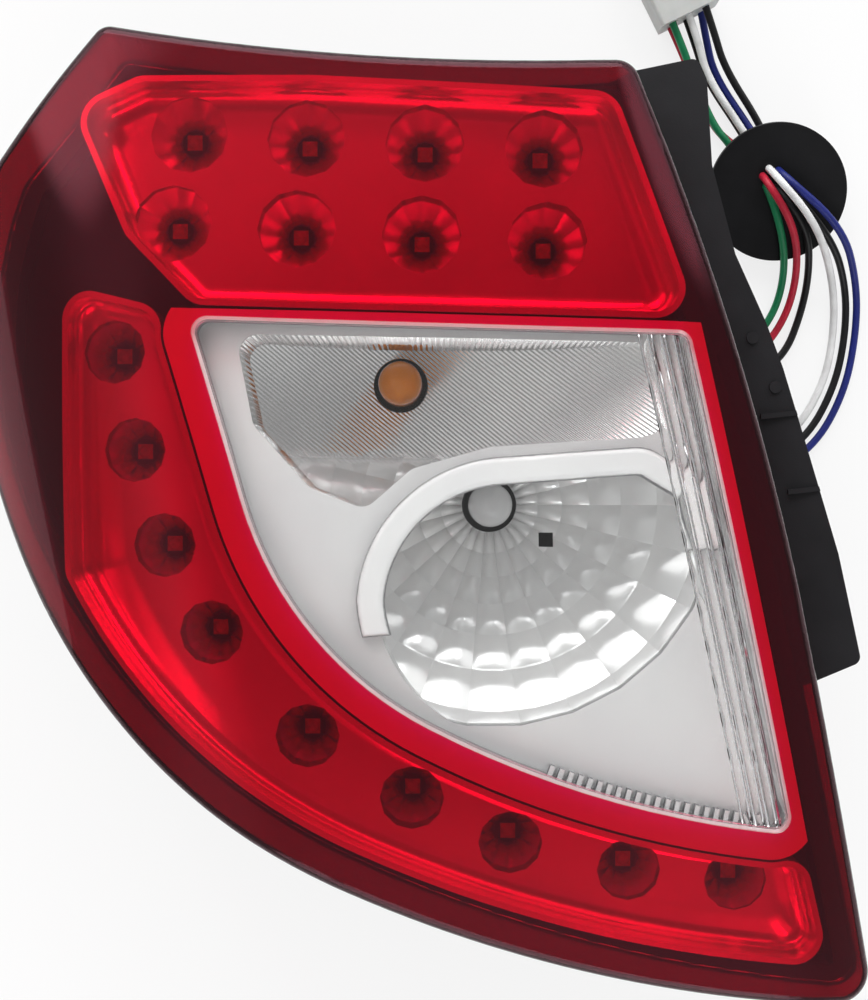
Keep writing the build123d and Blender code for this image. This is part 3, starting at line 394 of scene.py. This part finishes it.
def solder_mask():
    look = Look("solder_mask", (0.03, 0.14, 0.06), 0.4)
    look.vary(look.noise(220, 3), (0.02, 0.11, 0.045), (0.04, 0.17, 0.07))
    look.rough(look.noise(400, 3), 0.3, 0.5)
    return look.material


def led_resin():
    look = Look("led_resin", (0.55, 0.02, 0.02), 0.15, Coat_Weight=0.6)
    look.vary(look.noise(500, 2), (0.42, 0.01, 0.01), (0.70, 0.03, 0.03))
    return look.material


def nylon():
    look = Look("nylon", (0.62, 0.62, 0.58), 0.45, Subsurface_Weight=0.1, Subsurface_Scale=0.002)
    look.vary(look.noise(90, 3), (0.50, 0.51, 0.50), (0.62, 0.63, 0.61))
    look.rough(look.noise(160, 4), 0.38, 0.55)
    look.bump(look.noise(900, 3), 0.00006, 0.4)
    return look.material


def tinned():
    look = Look("tinned_brass", (0.74, 0.70, 0.58), 0.3, Metallic=1.0)
    look.rough(look.noise(600, 3), 0.22, 0.42)
    return look.material


def dress(look, *names):
    for name in names:
        slots = NODES[name].data.materials
        slots.clear()
        slots.append(look)


ZINC = steel()
dress(red_lens(), "lens_red")
dress(clear_lens(), "lens_clear_window")
dress(bright_band(), "brake_reflector", "tail_reflector")
dress(bright_centre(), "centre_reflector")
dress(black_plastic("black_housing", (0.015, 0.015, 0.017), 0.40), "housing")
dress(black_plastic("black_holder", (0.022, 0.022, 0.024), 0.46), "turn_bulb_holder", "reverse_bulb_holder")
dress(rubber("black_rubber", (0.005, 0.005, 0.006)), "body_grommet", "holder_seals", "led_wire_gland",
      "vent_cap", "stud_washers")
dress(rubber("sealant", (0.02, 0.02, 0.022)), "lens_sealing_bead")
dress(ZINC, "board_screws")
dress(solder_mask(), "brake_led_board", "tail_led_board")
dress(led_resin(), "brake_leds", "tail_leds")
dress(nylon(), "connector_shell")
dress(tinned(), "connector_terminals")


# Wires

WIRE_DIAMETER = 0.0028
WIRE_ROUTES = {
    "green": ((34, 53.6, 7), (34, 53.6, -7), (43, 54.8, -19), (60, 57.5, -22.6), (81, 55.5, -22.6),
              (101, 53.2, -22.6), (117.5, 57.5, -22.6), (127, 69, -22.6), (130.4, 83, -18.5),
              (128.2, 97, -8.5), (121.6, 114, -3.4), (121.6, 120.1, -22.3), (115.5, 124.9, -21.6),
              (110.2, 132.4, -19.2), (104, 139.5, -19.3), (96.8, 156.5, -19), (91.8, 168.5, -15),
              (86.1, 180.9, -13)),
    "red": ((34, 50.4, 7), (34, 50.4, -7), (44, 51.2, -19), (61, 53.6, -22.6), (82, 51.6, -22.6),
            (103, 49.3, -22.6), (120.5, 53.5, -22.6), (131.2, 67, -22.6), (135, 83.5, -17),
            (132, 99.5, -5), (120.4, 116, 1), (120.4, 122.5, -19), (117.8, 128.6, -21.2),
            (111.2, 133.4, -22.6), (104.2, 139.7, -22.6), (97, 156.5, -22.6), (92.2, 168.7, -21.7),
            (86.1, 180.9, -20)),
    "black_turn": ((-5, 42, -4), (8, 42, -4), (20, 42.6, -13), (36, 43.5, -21), (54, 45.5, -22.6),
                   (75, 44.5, -22.6), (97, 42.5, -22.6), (117, 44.5, -22.6), (131, 53.5, -22.6),
                   (137.4, 70, -22.4), (139.6, 85, -18), (137.2, 99.5, -8.5), (125, 113.4, -3.6),
                   (125, 119.5, -22.3), (115.6, 137, -22.6), (101.6, 157.6, -22.6), (97.6, 170.6, -21.7),
                   (92.4, 184, -20)),
    "white": ((-5, 38, -4), (8, 38, -4), (20.5, 37.8, -13), (37, 35.5, -21), (56, 29, -22.6),
              (76, 19.5, -22.6), (97, 14, -22.6), (118, 15, -22.6), (136, 26, -22.6), (146.5, 45, -22.6),
              (149.8, 64, -22.6), (148.2, 82, -17), (139.4, 100.5, -2.5), (122.6, 117.5, 5.1),
              (122.6, 125.3, -19), (115.6, 137, -19.4), (101.6, 157.6, -19), (97.6, 170.6, -14.7),
              (92.4, 184, -13)),
    "black_reverse": ((26, 0.3, -4), (39, 0.3, -4), (51, 1.8, -13), (67, 5.5, -21), (86, 8.3, -22.6),
                      (104, 8.8, -22.6), (121.5, 11.8, -22.6), (139.5, 23, -22.6), (150, 42.5, -22.6),
                      (154, 62, -22.6), (153.6, 79.5, -20), (146.6, 95.5, -9.3), (127.2, 115.9, -2.7),
                      (127.2, 122.3, -22.3), (125.4, 130.5, -22.5), (122.2, 140.2, -22),
                      (108.2, 161, -19.5), (103.5, 173.8, -14.7), (98.7, 187.1, -13)),
    "blue": ((26, -3.7, -4), (39, -3.7, -4), (51.5, -2.9, -13), (68, 0.5, -21), (87, 3.5, -22.6),
             (105, 4.6, -22.6), (123.5, 8.2, -22.6), (142.5, 20, -22.6), (153.5, 40, -22.6),
             (157.8, 61, -22.6), (157.6, 80, -19), (149.5, 99.5, -5), (126, 118, 1.6), (126, 124.7, -19),
             (118.8, 138.4, -22.6), (104.8, 158.9, -22.6), (101.6, 172.6, -21.7), (98.7, 187.1, -20)),
}
black_sleeve = sleeve("sleeve_black", (0.007, 0.007, 0.008))
WIRE_LOOKS = {
    "green": sleeve("sleeve_green", (0.008, 0.19, 0.075)),
    "red": sleeve("sleeve_red", (0.52, 0.015, 0.042)),
    "black_turn": black_sleeve,
    "white": sleeve("sleeve_white", (0.86, 0.86, 0.86)),
    "black_reverse": black_sleeve,
    "blue": sleeve("sleeve_blue", (0.012, 0.020, 0.18)),
}


def wire(colour):
    """Smooth wire along its route, in place of its plain solid."""
    route = [place(*point) for point in WIRE_ROUTES[colour]]
    data = bpy.data.curves.new("lead_" + colour, "CURVE")
    data.dimensions = "3D"
    data.bevel_depth = WIRE_DIAMETER / 2
    data.bevel_resolution = 4
    data.use_fill_caps = True
    data.resolution_u = 8
    spline = data.splines.new("NURBS")
    spline.points.add(len(route) - 1)
    for point, at in zip(spline.points, route):
        point.co = (*at, 1.0)
    spline.order_u = 3
    spline.use_endpoint_u = True
    piece = bpy.data.objects.new("lead_" + colour, data)
    SCENE.collection.objects.link(piece)
    data.materials.append(WIRE_LOOKS[colour])
    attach(piece, "root")
    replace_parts(piece, "wire_" + colour)


for colour in WIRE_ROUTES:
    wire(colour)


# Bulbs and studs


def add_piece(name, data, look):
    """Adds a piece that rides on the part."""
    made = bpy.data.objects.new(name, data)
    SCENE.collection.objects.link(made)
    data.materials.append(look)
    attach(made, "root")
    return made


# Profile of the bulb's glass, radius and height, down the outside and up the inside
BULB_GLASS = ((0, 46), (2.6, 45.6), (4.7, 44.4), (6.3, 42.4), (7.2, 39.9), (7.5, 37), (7.5, 24), (7.2, 21),
              (6.4, 18.8), (5.6, 18), (5, 18.3), (5.7, 19.4), (6.5, 21.4), (6.8, 24.3), (6.8, 37),
              (6.5, 39.5), (5.7, 41.8), (4.2, 43.6), (2.3, 44.8), (0, 45.2))
SPIN_STEPS = 40
BULB_FOOT = (12.0, 5.0, 12.4)
BULB_FOOT_LOW = 6.0
FOOT_BEVEL = 1.0

# The filament: its coil, with points in a turn and thickness as a share of a lead's, and its two leads
COIL_HEIGHT = 33.0
COIL_HALF = 2.6
COIL_RADIUS = 0.6
COIL_TURNS = 11
COIL_POINTS = 12
COIL_SHARE = 0.4
LEAD_HEIGHTS = (12.0, 24.0, COIL_HEIGHT)
LEAD_RADIUS = 0.0003


def bulb_glass(name, at, look):
    """Hollow bulb turned from its profile, on a flat pinched foot."""
    shape = bmesh.new()
    points = [shape.verts.new((radius / 1000, 0, height / 1000)) for radius, height in BULB_GLASS]
    edges = [shape.edges.new(pair) for pair in zip(points, points[1:])]
    bmesh.ops.spin(shape, geom=points + edges, axis=(0, 0, 1), angle=2 * math.pi, steps=SPIN_STEPS,
                   use_merge=True)
    bmesh.ops.remove_doubles(shape, verts=shape.verts, dist=1e-6)
    size = Matrix.Diagonal((*[side / 1000 for side in BULB_FOOT], 1.0))
    lift = Matrix.Translation((0, 0, (BULB_FOOT_LOW + BULB_FOOT[2] / 2) / 1000))
    foot = bmesh.ops.create_cube(shape, size=1.0, matrix=lift @ size)["verts"]
    around = list({edge for vert in foot for edge in vert.link_edges})
    bmesh.ops.bevel(shape, geom=around, offset=FOOT_BEVEL / 1000, segments=3, affect="EDGES")
    bmesh.ops.recalc_face_normals(shape, faces=shape.faces)
    shape.transform(Matrix.Translation(place(*at, 0)))
    mesh = bpy.data.meshes.new(name + "_envelope")
    shape.to_mesh(mesh)
    shape.free()
    mesh.shade_smooth()
    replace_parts(add_piece(name + "_envelope", mesh, look), name)


def bulb_filament(name, at, look):
    """Two leads out of the foot and the coil between them."""
    data = bpy.data.curves.new(name + "_filament", "CURVE")
    data.dimensions = "3D"
    data.bevel_depth = LEAD_RADIUS
    data.bevel_resolution = 2
    leads = [[(side * COIL_HALF, 0, height) for height in LEAD_HEIGHTS] for side in (-1, 1)]
    turns = [(number / COIL_POINTS, 2 * math.pi * number / COIL_POINTS)
             for number in range(COIL_POINTS * COIL_TURNS + 1)]
    coil = [(COIL_HALF * (2 * count / COIL_TURNS - 1), COIL_RADIUS * math.cos(angle),
             COIL_HEIGHT + COIL_RADIUS * math.sin(angle)) for count, angle in turns]
    for run, share in ((leads[0], 1.0), (leads[1], 1.0), (coil, COIL_SHARE)):
        spline = data.splines.new("POLY")
        spline.points.add(len(run) - 1)
        for point, (x, y, z) in zip(spline.points, run):
            point.co = (*place(at[0] + x, at[1] + y, z), 1.0)
            point.radius = share
    add_piece(name + "_filament", data, look)


STUDS = (MAIN_STUD, (-92.0, 48.0), (68.0, -104.0))
STUD_SIDES = 36
STUD_END = FLOOR
STUD_RADIUS = 3.0
TIP_RADIUS = 2.0
COLLAR_RADIUS = 3.6
HEAD_RADIUS = 5.5
HEAD_LOW = 14.0
HEAD_HIGH = 18.0
EDGE = 0.001
THREAD_START = -2.0
THREAD_PITCH = 1.0
THREAD_DEPTH = 0.55
THREAD_RINGS = 8
SMOOTH_STUDS = math.radians(50)


def stud_radius(height, turn):
    """Radius of a stud in millimetres: chamfered tip, thread, plain neck, collar and hexagon head."""
    if height > HEAD_LOW:
        return HEAD_RADIUS * math.cos(math.pi / 6) / math.cos(turn % (math.pi / 3) - math.pi / 6)
    if height > 0.0:
        return COLLAR_RADIUS
    wave = abs((height / THREAD_PITCH + turn / (2 * math.pi)) % 1.0 - 0.5) * 2
    run_out = min(1.0, max(0.0, (THREAD_START - height) / THREAD_PITCH))
    return min(STUD_RADIUS - THREAD_DEPTH * wave * run_out, TIP_RADIUS + height - STUD_END)


def studs(look):
    """The three studs with their threads."""
    rings = int(-STUD_END * THREAD_RINGS / THREAD_PITCH)
    heights = [STUD_END * (1 - number / rings) for number in range(rings + 1)]
    heights += [EDGE, HEAD_LOW - EDGE, HEAD_LOW + EDGE, HEAD_HIGH]
    corners, faces = [], []
    for at in STUDS:
        first = len(corners)
        for height in heights:
            for side in range(STUD_SIDES):
                turn = side * 2 * math.pi / STUD_SIDES
                radius = stud_radius(height, turn)
                across, along = radius * math.cos(turn), radius * math.sin(turn)
                corners.append(place(at[0] + across, at[1] + along, height))
        for ring in range(len(heights) - 1):
            low = first + ring * STUD_SIDES
            for side in range(STUD_SIDES):
                after = (side + 1) % STUD_SIDES
                faces.append((low + side, low + after, low + after + STUD_SIDES, low + side + STUD_SIDES))
        faces.append(tuple(range(first + STUD_SIDES - 1, first - 1, -1)))
        faces.append(tuple(range(len(corners) - STUD_SIDES, len(corners))))
    mesh = bpy.data.meshes.new("threaded_studs")
    mesh.from_pydata(corners, [], faces)
    mesh.shade_smooth()
    mesh.set_sharp_from_angle(angle=SMOOTH_STUDS)
    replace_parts(add_piece("threaded_studs", mesh, look), "mounting_studs")


WIRE_METAL = tungsten()
BULBS = (
    ("turn_bulb", TURN_BULB, glass("amber_glass", (0.96, 0.30, 0.02), 0.12, 0.3), "amber_glass"),
    ("reverse_bulb", REVERSE_BULB, glass("clear_glass", (0.96, 0.97, 0.97), 0.02, 0.42), "clear_glass"),
)
for name, at, look, slot in BULBS:
    bulb_glass(name, at, look)
    bulb_filament(name, at, WIRE_METAL)
studs(ZINC)


# Smooth shading of the carried-over nodes

SMOOTH_BELOW = math.radians(24)
SMOOTH_FACETS = math.radians(9)
for name, node in NODES.items():
    node.data.shade_smooth()
    node.data.set_sharp_from_angle(angle=SMOOTH_FACETS if name == "centre_reflector" else SMOOTH_BELOW)


# Floor and light

# Half the floor's side in metres, and the share of plain white in it where it is seen
FLOOR_HALF = 40.0
FLOOR_GLOW = 0.80


def floor():
    """Pale floor, near white where it is seen, that keeps the shadow."""
    look = Look("pale_floor", (0.90, 0.90, 0.90), 0.7)
    look.vary(look.noise(3, 3), (0.89, 0.89, 0.89), (0.91, 0.91, 0.91))
    path = look.node("ShaderNodeLightPath").outputs
    seen = look.math("MAXIMUM", path["Is Glossy Ray"], path["Is Transmission Ray"])
    seen = look.math("MAXIMUM", path["Is Camera Ray"], seen)
    white = look.node("ShaderNodeEmission")
    mix = look.node("ShaderNodeMixShader")
    look.link(look.math("MULTIPLY", seen, FLOOR_GLOW), mix.inputs[0])
    look.link(look.shader.outputs["BSDF"], mix.inputs[1])
    look.link(white.outputs["Emission"], mix.inputs[2])
    look.link(mix.outputs["Shader"], look.tree.nodes["Material Output"].inputs["Surface"])
    mesh = bpy.data.meshes.new("floor")
    sides = ((-1, -1), (1, -1), (1, 1), (-1, 1))
    corners = [(x * FLOOR_HALF, y * FLOOR_HALF, FLOOR / 1000) for x, y in sides]
    mesh.from_pydata(corners, [], [(0, 1, 2, 3)])
    mesh.materials.append(look.material)
    ground = bpy.data.objects.new("floor", mesh)
    SCENE.collection.objects.link(ground)


# Soft patches of the surroundings: turn from inboard towards the top, tilt from straight up, the angles
# where a patch starts to fade and has gone, and its strength
SKY = 0.68
PATCHES = (
    (92, 66, 22, 28, 3.3),
    (134, 62, 18, 24, 1.8),
    (48, 62, 16, 22, 1.5),
    (268, 67, 19, 26, 2.0),
    (188, 78, 10, 42, -0.30),
    (5, 55, 18, 52, -0.28),
    (0, 0, 14, 36, -0.34),
    (68, 48, 1.5, 5, 9.0),
    (112, 50, 1.5, 5, 9.0),
    (284, 48, 1.5, 5, 9.0),
)


def world():
    """Soft surroundings: dim straight above and inboard, bright above the top and the sill."""
    made = bpy.data.worlds.new("studio")
    SCENE.world = made
    made.use_nodes = True
    tree = made.node_tree
    source = tree.nodes.new("ShaderNodeTexCoord")
    total = tree.nodes.new("ShaderNodeValue")
    total.outputs["Value"].default_value = SKY
    for turn, tilt, inner, outer, strength in PATCHES:
        aim = Matrix.Rotation(math.radians(turn), 3, "Z") @ Matrix.Rotation(math.radians(tilt), 3, "Y")
        dot = tree.nodes.new("ShaderNodeVectorMath")
        dot.operation = "DOT_PRODUCT"
        dot.inputs[1].default_value = aim @ Vector((0, 0, 1))
        fade = tree.nodes.new("ShaderNodeMapRange")
        fade.interpolation_type = "SMOOTHSTEP"
        fade.inputs["From Min"].default_value = math.cos(math.radians(outer))
        fade.inputs["From Max"].default_value = math.cos(math.radians(inner))
        fade.inputs["To Max"].default_value = strength
        plus = tree.nodes.new("ShaderNodeMath")
        tree.links.new(source.outputs["Generated"], dot.inputs[0])
        tree.links.new(dot.outputs["Value"], fade.inputs["Value"])
        tree.links.new(fade.outputs["Result"], plus.inputs[0])
        tree.links.new(total.outputs["Value"], plus.inputs[1])
        total = plus
    tree.links.new(total.outputs["Value"], tree.nodes["Background"].inputs["Strength"])
    tree.nodes["Background"].inputs["Color"].default_value = (1, 1, 1, 1)


floor()
world()
